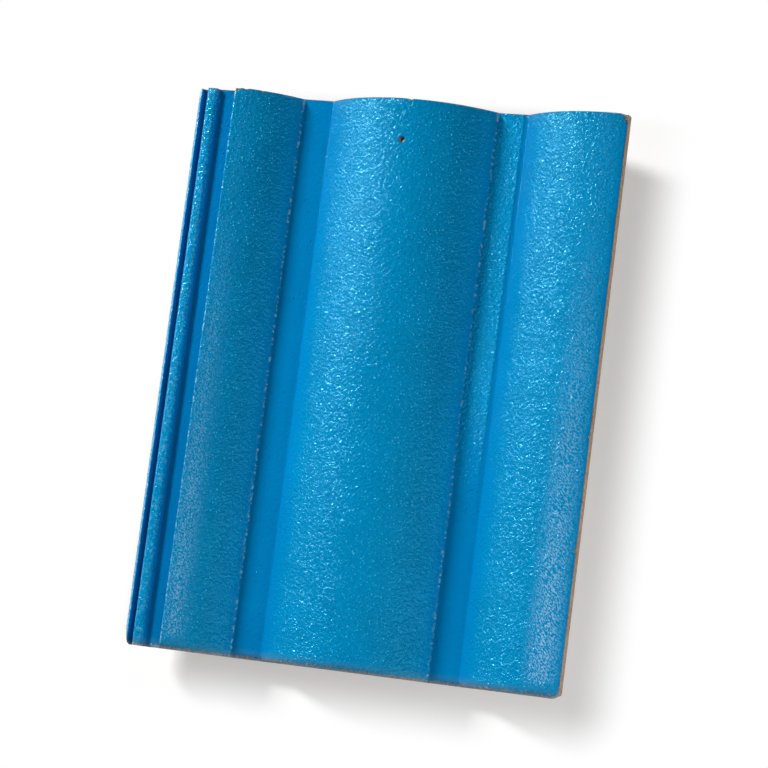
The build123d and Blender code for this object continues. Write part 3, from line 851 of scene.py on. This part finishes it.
def coat_material(finish, name, grain):
    """Acrylic tile coat, sprayed wet over sand: a glossy skin that shows each grain below as a small glint."""
    material, tree = blank_material(name)
    place = put(tree, "ShaderNodeTexCoord").node.outputs["Object"]
    math, ranged = "ShaderNodeMath", "ShaderNodeMapRange"
    read = {label: put(tree, "ShaderNodeAttribute", attribute_name=label).node.outputs["Fac"]
            for label in READ_BY_COAT + ("from_tail", "from_head")}
    pool, coat, from_tail, from_head = (read[label] for label in ("pool", "coat", "from_tail", "from_head"))

    # Colour: deeper where the coat pooled, which also paints shade into the pans, grooves and right edge, uneven
    # from the spray, some 40 mm wide, mottled by the sand below it, 1.8 mm wide, and a fifth lighter where the
    # right pan is dry, which is a painted sheen.
    cloud = put(tree, "ShaderNodeTexNoise", {"Vector": place, "Scale": 1 / (40 * MM), "Detail": 3.0})
    shade = put(tree, ranged, {0: cloud, 1: 0.3, 2: 0.7, 3: 0.95, 4: 1.05})
    fleck = put(tree, "ShaderNodeTexNoise", {"Vector": place, "Scale": 1 / (1.8 * MM), "Detail": 2.0})
    thin = put(tree, math, {0: 1.0, 1: pool}, operation="SUBTRACT")
    thin = put(tree, math, {0: thin, 1: 0.5}, operation="MULTIPLY")
    fleck = put(tree, math, {0: fleck, 1: 0.5}, operation="SUBTRACT")
    shade = put(tree, math, {0: fleck, 1: thin, 2: shade}, operation="MULTIPLY_ADD")
    blue = put(tree, "ShaderNodeMix", {"Factor": pool, "A": tuple(finish.grain if grain else finish.coat),
                                       "B": tuple(finish.pooled_and_shaded)}, data_type="RGBA")
    # Painted sheen: the dry strip is a fifth lighter.
    shade = put(tree, math, {0: read["dry"], 1: 0.2, 2: shade}, operation="MULTIPLY_ADD")
    blue = put(tree, "ShaderNodeVectorMath", {0: blue, "Scale": shade}, operation="SCALE")

    # Film: short pale strokes, 0.9 mm wide and 1.8 mm long, partly bloom on the coat and partly a painted sheen,
    # that slant over the bands, fade to the head and stop short of the tail.
    stroke = put(tree, "ShaderNodeMapping",
                 {"Vector": place, "Rotation": (0.0, 0.0, radians(-50)),
                  "Scale": (1.8 * MM, 0.9 * MM, 0.9 * MM)}, vector_type="TEXTURE")
    stroke = put(tree, "ShaderNodeTexNoise", {"Vector": stroke, "Scale": 1.0, "Detail": 1.0})
    stroke = put(tree, ranged, {0: stroke, 1: 0.47, 2: 0.6, 3: 0.0, 4: 1.0})
    film = put(tree, ranged, {0: read["film"], 1: 0.0, 2: 1.0}, interpolation_type="SMOOTHSTEP")
    fade = put(tree, ranged, {0: from_tail, 1: 60 * MM, 2: 330 * MM, 3: 0.78, 4: 0.06})
    ends = put(tree, ranged, {0: from_tail, 1: 6 * MM, 2: 14 * MM})
    for share in (fade, ends, stroke):
        film = put(tree, math, {0: film, 1: share}, operation="MULTIPLY")

    # Rubbed edges: paler spots, 2.6 mm wide, partly wear and partly painted highlights, along the lip, the step
    # and the pans' left creases, and most of them at the head.
    spot = put(tree, "ShaderNodeTexNoise", {"Vector": place, "Scale": 1 / (2.6 * MM), "Detail": 3.0})
    ends = put(tree, ranged, {0: from_head, 1: 2 * MM, 2: 8 * MM, 3: 0.25, 4: 0.0})
    spot = put(tree, math, {0: spot, 1: ends}, operation="ADD")
    spot = put(tree, ranged, {0: spot, 1: 0.52, 2: 0.66, 3: 0.0, 4: 0.9})
    spot = put(tree, math, {0: spot, 1: read["rub"]}, operation="MULTIPLY")
    # The nose, which other tiles have slid over, is greyer.
    slid = put(tree, ranged, {0: from_tail, 1: 1 * MM, 2: 8 * MM, 3: 0.55, 4: 0.0})
    for share, paint in ((film, finish.film), (spot, finish.rubbed_and_highlit), (slid, finish.slid)):
        blue = put(tree, "ShaderNodeMix", {"Factor": share, "A": blue, "B": tuple(paint)}, data_type="RGBA")

    # Wear: the coat is rubbed off the nose, the head's edge and the sides.
    tone, lump = concrete_face(tree, place, finish.concrete)
    patch = put(tree, "ShaderNodeTexNoise", {"Vector": place, "Scale": 1 / (2.6 * MM), "Detail": 4.0,
                                             "Roughness": 0.65})
    cover = coat
    for end, run, least in ((from_tail, 6 * MM, 0.42), (from_head, 1.6 * MM, 0.45)):
        edge = put(tree, ranged, {0: end, 1: 0.0, 2: run, 3: least, 4: 1.0}, interpolation_type="SMOOTHSTEP")
        cover = put(tree, math, {0: cover, 1: edge}, operation="MULTIPLY")
    worn = put(tree, math, {0: patch, 1: cover}, operation="ADD")
    worn = put(tree, ranged, {0: worn, 1: 0.82, 2: 1.12, 3: 0.0, 4: 1.0})
    base = put(tree, "ShaderNodeMix", {"Factor": worn, "A": tone, "B": blue}, data_type="RGBA")
    rough = put(tree, ranged, {0: worn, 3: 0.9, 4: 0.14})

    # Skin: waves of 2.4 mm from sand under the coat, and grit of 1.1 mm, drawn a little coarse to show.
    wave = put(tree, "ShaderNodeTexNoise", {"Vector": place, "Scale": 1 / (2.4 * MM), "Detail": 2.0,
                                            "Roughness": 0.55})
    grit = put(tree, "ShaderNodeTexVoronoi", {"Vector": place, "Scale": 1 / (1.1 * MM)}, feature="SMOOTH_F1")
    calm = put(tree, ranged, {0: pool, 3: 1.0, 4: 0.4})
    calm = put(tree, math, {0: read["dry"], 1: 0.8, 2: calm}, operation="MULTIPLY_ADD")
    skin = put(tree, math, {0: grit, 1: -0.35, 2: wave}, operation="MULTIPLY_ADD")
    skin = put(tree, math, {0: skin, 1: calm}, operation="MULTIPLY")
    bare = put(tree, math, {0: 1.0, 1: worn}, operation="SUBTRACT")
    skin = put(tree, math, {0: lump, 1: bare, 2: skin}, operation="MULTIPLY_ADD")
    bump = put(tree, "ShaderNodeBump", {"Strength": 0.3 if grain else 1.0, "Distance": 1.0 * MM,
                                        "Height": skin})
    # The glints keep some of the coat's colour, because light passes the clear top of each drop twice.
    shader = put(tree, "ShaderNodeBsdfPrincipled",
                 {"Base Color": base, "Roughness": rough, "IOR": 1.47, "Specular Tint": tuple(finish.glint),
                  "Normal": bump})
    put(tree, "ShaderNodeOutputMaterial", {"Surface": shader})
    return material


def grain_mesh():
    """One grain, 1 wide: a ring of six points that sinks in the coat, with a point above it and one below."""
    turns = [number * pi / 3 for number in range(6)]
    points = [(0.5 * cos(turn), 0.5 * sin(turn), -0.04) for turn in turns] + [(0, 0, 0.34), (0, 0, -0.3)]
    faces = [(a, (a + 1) % 6, 6) for a in range(6)] + [((a + 1) % 6, a, 7) for a in range(6)]
    mesh = bpy.data.meshes.new("sand_grain")
    mesh.from_pydata(points, [], faces)
    return mesh


def sand_tree():
    """Geometry tree that scatters grains over the coated faces, fewer where the coat pooled."""
    tree, entry = geometry_tree("Sand", {
        "Grain": "NodeSocketObject", "Grain Width": "NodeSocketFloat", "Grain Gap": "NodeSocketFloat",
        "Seed": "NodeSocketInt", "Box Low": "NodeSocketVector", "Box High": "NodeSocketVector",
        "Coat": "NodeSocketMaterial",
    })
    math = "ShaderNodeMath"
    reads = {name: put(tree, "GeometryNodeInputNamedAttribute", {"Name": name}, data_type="FLOAT")
             for name in ("coat", "pool", "from_tail", "from_head")}
    whole = put(tree, math, {0: reads["coat"], 1: 0.98}, operation="GREATER_THAN")
    top = put(tree, "ShaderNodeSeparateXYZ", {0: put(tree, "GeometryNodeInputNormal")}).node.outputs["Z"]
    top = put(tree, math, {0: top, 1: 0.3}, operation="GREATER_THAN")
    whole = put(tree, math, {0: whole, 1: top}, operation="MULTIPLY")
    for end in ("from_tail", "from_head"):
        inside = put(tree, math, {0: reads[end], 1: SAND_CLEAR}, operation="GREATER_THAN")
        whole = put(tree, math, {0: whole, 1: inside}, operation="MULTIPLY")
    thin = put(tree, math, {0: reads["pool"], 1: -0.85, 2: 1.0}, operation="MULTIPLY_ADD")
    points = put(tree, "GeometryNodeDistributePointsOnFaces",
                 {"Mesh": entry["Geometry"], "Selection": whole, "Distance Min": entry["Grain Gap"],
                  "Density Max": SAND_DENSITY, "Density Factor": thin, "Seed": entry["Seed"]},
                 distribute_method="POISSON")
    turn = points.node.outputs["Rotation"]
    spin = put(tree, "FunctionNodeRandomValue", {"Min": 0.0, "Max": 2 * pi, "Seed": entry["Seed"]},
               data_type="FLOAT")
    spin = put(tree, "ShaderNodeCombineXYZ", {2: spin})
    turn = put(tree, "FunctionNodeRotateRotation", {"Rotation": turn, "Rotate By": spin},
               rotation_space="LOCAL")
    # Most grains are small: the width runs from 0.4 to 1.7 of the mean as the square of an even spread.
    width = put(tree, "FunctionNodeRandomValue", {"Min": 0.0, "Max": 1.0, "Seed": entry["Seed"]},
                data_type="FLOAT")
    width = put(tree, math, {0: width, 1: width}, operation="MULTIPLY")
    width = put(tree, math, {0: width, 1: 1.3, 2: 0.4}, operation="MULTIPLY_ADD")
    width = put(tree, math, {0: width, 1: entry["Grain Width"]}, operation="MULTIPLY")
    stretch = put(tree, "FunctionNodeRandomValue",
                  {"Min": (0.75, 0.75, 0.5), "Max": (1.25, 1.25, 1.1), "Seed": entry["Seed"]},
                  data_type="FLOAT_VECTOR")
    stretch = put(tree, "ShaderNodeVectorMath", {0: stretch, "Scale": width}, operation="SCALE")
    grain = put(tree, "GeometryNodeObjectInfo", {"Object": entry["Grain"]}).node.outputs["Geometry"]
    made = put(tree, "GeometryNodeInstanceOnPoints",
               {"Points": points, "Instance": grain, "Rotation": turn, "Scale": stretch})
    made = put(tree, "GeometryNodeRealizeInstances", {0: made})
    made = boxed(tree, made, entry)
    made = put(tree, "GeometryNodeSetShadeSmooth", {"Geometry": made, "Shade Smooth": True}, domain="FACE")
    made = put(tree, "GeometryNodeSetMaterial", {"Geometry": made, "Material": entry["Coat"]})
    put(tree, "NodeGroupOutput", {0: made})
    return tree


class TILE_OT_body(bpy.types.Operator):
    """Run the section along the tile, and dress it in its coat"""

    bl_idname = "rooftile.body"
    bl_label = "Build Tile"

    def execute(self, context):
        sizes = context.scene.tile_sizes
        finish = context.scene.coat_finish
        rule = Rule(sizes)
        body = new_object("tile_body", section_mesh(rule))
        tools = [make(rule) for make in (hanging_mesh, drill_mesh, chips_mesh)]
        tools = [new_object(mesh.name, mesh) for mesh in tools]
        bake_tree(body, run_tree(), {
            "Stations": sizes.stations, "Nose Steps": NOSE_STEPS, "Nose Radius": sizes.nose_radius,
            "Left": rule.left_x, "Right": rule.right_x, "Tail": rule.tail_y, "Head": rule.head_y,
            "Tail Cut X": TAIL_CHAMFER[0], "Tail Cut Y": TAIL_CHAMFER[1], "Head Cut": HEAD_CHAMFER,
            "Corner Radius": TAIL_CORNER_RADIUS, "Relief Depth": finish.relief_depth,
            "Relief Width": finish.relief_width, "Tilt": rule.tilt, "Place": rule.place(),
            "Bars and Nibs": tools[0], "Drill": tools[1], "Chips": tools[2],
            "Coat": coat_material(finish, "sanded_acrylic_coat", False),
            "Concrete": concrete_material(finish), **box_sides(),
        })
        for tool in tools:
            bpy.data.meshes.remove(tool.data)
        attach(body, BODY)
        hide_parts(NODE)
        return {"FINISHED"}


class TILE_OT_sand(bpy.types.Operator):
    """Scatter the sand grains that stand up through the coat"""

    bl_idname = "rooftile.sand"
    bl_label = "Scatter Sand"

    def execute(self, context):
        finish = context.scene.coat_finish
        body = bpy.data.objects.get("tile_body")
        if body is None:
            raise RuntimeError("Build the tile before its sand")
        sand = new_object("sand_grains", body.data.copy())
        grain = new_object("sand_grain", grain_mesh())
        bake_tree(sand, sand_tree(), {
            "Grain": grain, "Grain Width": finish.grain_width, "Grain Gap": finish.grain_gap,
            "Seed": SAND_SEED, "Coat": coat_material(finish, "coated_sand", True), **box_sides(),
        })
        bpy.data.meshes.remove(grain.data)
        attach(sand, BODY)
        return {"FINISHED"}


# Camera: where the photographer stood, from the tile's creases and edges. Place in metres, turn in degrees, and
# lens and sensor in millimetres.
CAMERA_PLACE = (0.5550, -0.2551, 1.9629)
CAMERA_TURN = (9.3508, 14.7364, 7.8905)
CAMERA_LENS = 128.87
SENSOR_WIDTH = 36.0

# Floor, in metres: how far it reaches, and how far from the tile it has turned to plain white on its right and
# tail sides, which is three times as far as on the two that face the key light
FLOOR_REACH = 6.0
FLOOR_FADE = 45.0 * MM
# How much the seen floor glows, so that the shadow is as pale as in soft studio light
FLOOR_LIFT = 0.15


class TILE_OT_studio(bpy.types.Operator):
    """Lay the pale floor, and set the lights and the camera"""

    bl_idname = "rooftile.studio"
    bl_label = "Set Studio"

    def execute(self, context):
        studio = context.scene.studio_set
        mesh = bpy.data.meshes.new("floor")
        corners = [(x * FLOOR_REACH, y * FLOOR_REACH, 0) for x, y in ((-1, -1), (1, -1), (1, 1), (-1, 1))]
        mesh.from_pydata(corners, [], [(0, 1, 2, 3)])
        floor = new_object("floor", mesh)
        material, tree = blank_material("pale_floor")
        math, vector = "ShaderNodeMath", "ShaderNodeVectorMath"
        path = put(tree, "ShaderNodeLightPath").node.outputs
        seen = path["Is Camera Ray"]
        for ray in ("Is Glossy Ray", "Is Transmission Ray"):
            seen = put(tree, math, {0: seen, 1: path[ray]}, operation="MAXIMUM")
        paper = put(tree, "ShaderNodeBsdfDiffuse", {"Color": tuple(studio.floor)})
        # The floor shows the tile's shadow near it, and turns to plain white away from it.
        spot = put(tree, "ShaderNodeTexCoord").node.outputs["Object"]
        low, high = (tuple(corner) for corner in CAD_BOX)
        reach = (0.0, 0.0, 0.0)
        for outer, inner, rate in ((spot, high, (1.0, 3.0, 0.0)), (low, spot, (3.0, 1.0, 0.0))):
            past = put(tree, vector, {0: outer, 1: inner}, operation="SUBTRACT")
            past = put(tree, vector, {0: past, 1: (0.0, 0.0, 0.0)}, operation="MAXIMUM")
            reach = put(tree, vector, {0: past, 1: rate, 2: reach}, operation="MULTIPLY_ADD")
        reach = put(tree, vector, {0: reach}, operation="LENGTH").node.outputs["Value"]
        away = put(tree, "ShaderNodeMapRange", {0: reach, 1: 0.0, 2: FLOOR_FADE},
                   interpolation_type="SMOOTHSTEP")
        white = put(tree, math, {0: seen, 1: away}, operation="MULTIPLY")
        lift = put(tree, math, {0: seen, 1: FLOOR_LIFT}, operation="MULTIPLY")
        glow = put(tree, "ShaderNodeEmission", {"Strength": lift})
        near = put(tree, "ShaderNodeAddShader", {0: paper, 1: glow})
        plain = put(tree, "ShaderNodeEmission", {"Strength": 1.0})
        both = put(tree, "ShaderNodeMixShader", {0: white, 1: near, 2: plain})
        put(tree, "ShaderNodeOutputMaterial", {"Surface": both})
        mesh.materials.append(material)

        # Lamps: name, place, what they aim at, width, spread in degrees, and power.
        lamps = (
            ("key_light", (-1.89, 1.19, 1.17), (-0.02, -0.05, 0.0), 0.4, 80, studio.key_power),
            ("fill_light", (1.1, -0.8, 1.0), (0.0, 0.0, 0.0), 1.2, 180, studio.fill_power),
        )
        for name, place, aim, width, spread, power in lamps:
            lamp = bpy.data.lights.new(name, "AREA")
            lamp.size = width
            lamp.spread = radians(spread)
            lamp.energy = power
            thing = new_object(name, lamp)
            thing.location = place
            thing.rotation_euler = (Vector(aim) - Vector(place)).to_track_quat("-Z", "Y").to_euler()
            thing.visible_camera = False

        world = bpy.data.worlds.new("soft_sky")
        world.use_nodes = True
        world.node_tree.nodes.clear()
        sky = put(world.node_tree, "ShaderNodeBackground", {"Strength": studio.sky})
        put(world.node_tree, "ShaderNodeOutputWorld", {"Surface": sky})
        context.scene.world = world

        lens = bpy.data.cameras.new("camera")
        lens.lens = CAMERA_LENS
        lens.sensor_width = SENSOR_WIDTH
        camera = new_object("camera", lens)
        camera.location = CAMERA_PLACE
        camera.rotation_euler = Euler([radians(angle) for angle in CAMERA_TURN])
        context.scene.camera = camera
        context.scene.view_settings.view_transform = "Standard"
        return {"FINISHED"}


class TILE_PT_panel(bpy.types.Panel):
    """Panel that lists the steps and the sizes"""

    bl_idname = "TILE_PT_panel"
    bl_label = "Roof Tile"
    bl_space_type = "VIEW_3D"
    bl_region_type = "UI"
    bl_category = "Roof Tile"

    def draw(self, context):
        steps = {TILE_OT_body: "tile_sizes", TILE_OT_sand: "coat_finish", TILE_OT_studio: "studio_set"}
        for step, group in steps.items():
            box = self.layout.box()
            box.operator(step.bl_idname)
            values = getattr(context.scene, group)
            for name in values.bl_rna.properties.keys():
                if name not in ("rna_type", "name"):
                    box.prop(values, name)


CLASSES = (TileSizes, CoatFinish, StudioSet, TILE_OT_body, TILE_OT_sand, TILE_OT_studio, TILE_PT_panel)
GROUPS = {"tile_sizes": TileSizes, "coat_finish": CoatFinish, "studio_set": StudioSet}


def register():
    for item in CLASSES:
        bpy.utils.register_class(item)
    for name, group in GROUPS.items():
        setattr(bpy.types.Scene, name, bpy.props.PointerProperty(type=group))


def unregister():
    for name in GROUPS:
        delattr(bpy.types.Scene, name)
    for item in reversed(CLASSES):
        bpy.utils.unregister_class(item)


def main():
    """Build every piece in order."""
    register()
    bpy.ops.rooftile.body()
    bpy.ops.rooftile.sand()
    bpy.ops.rooftile.studio()


if __name__ == "__main__":
    main()
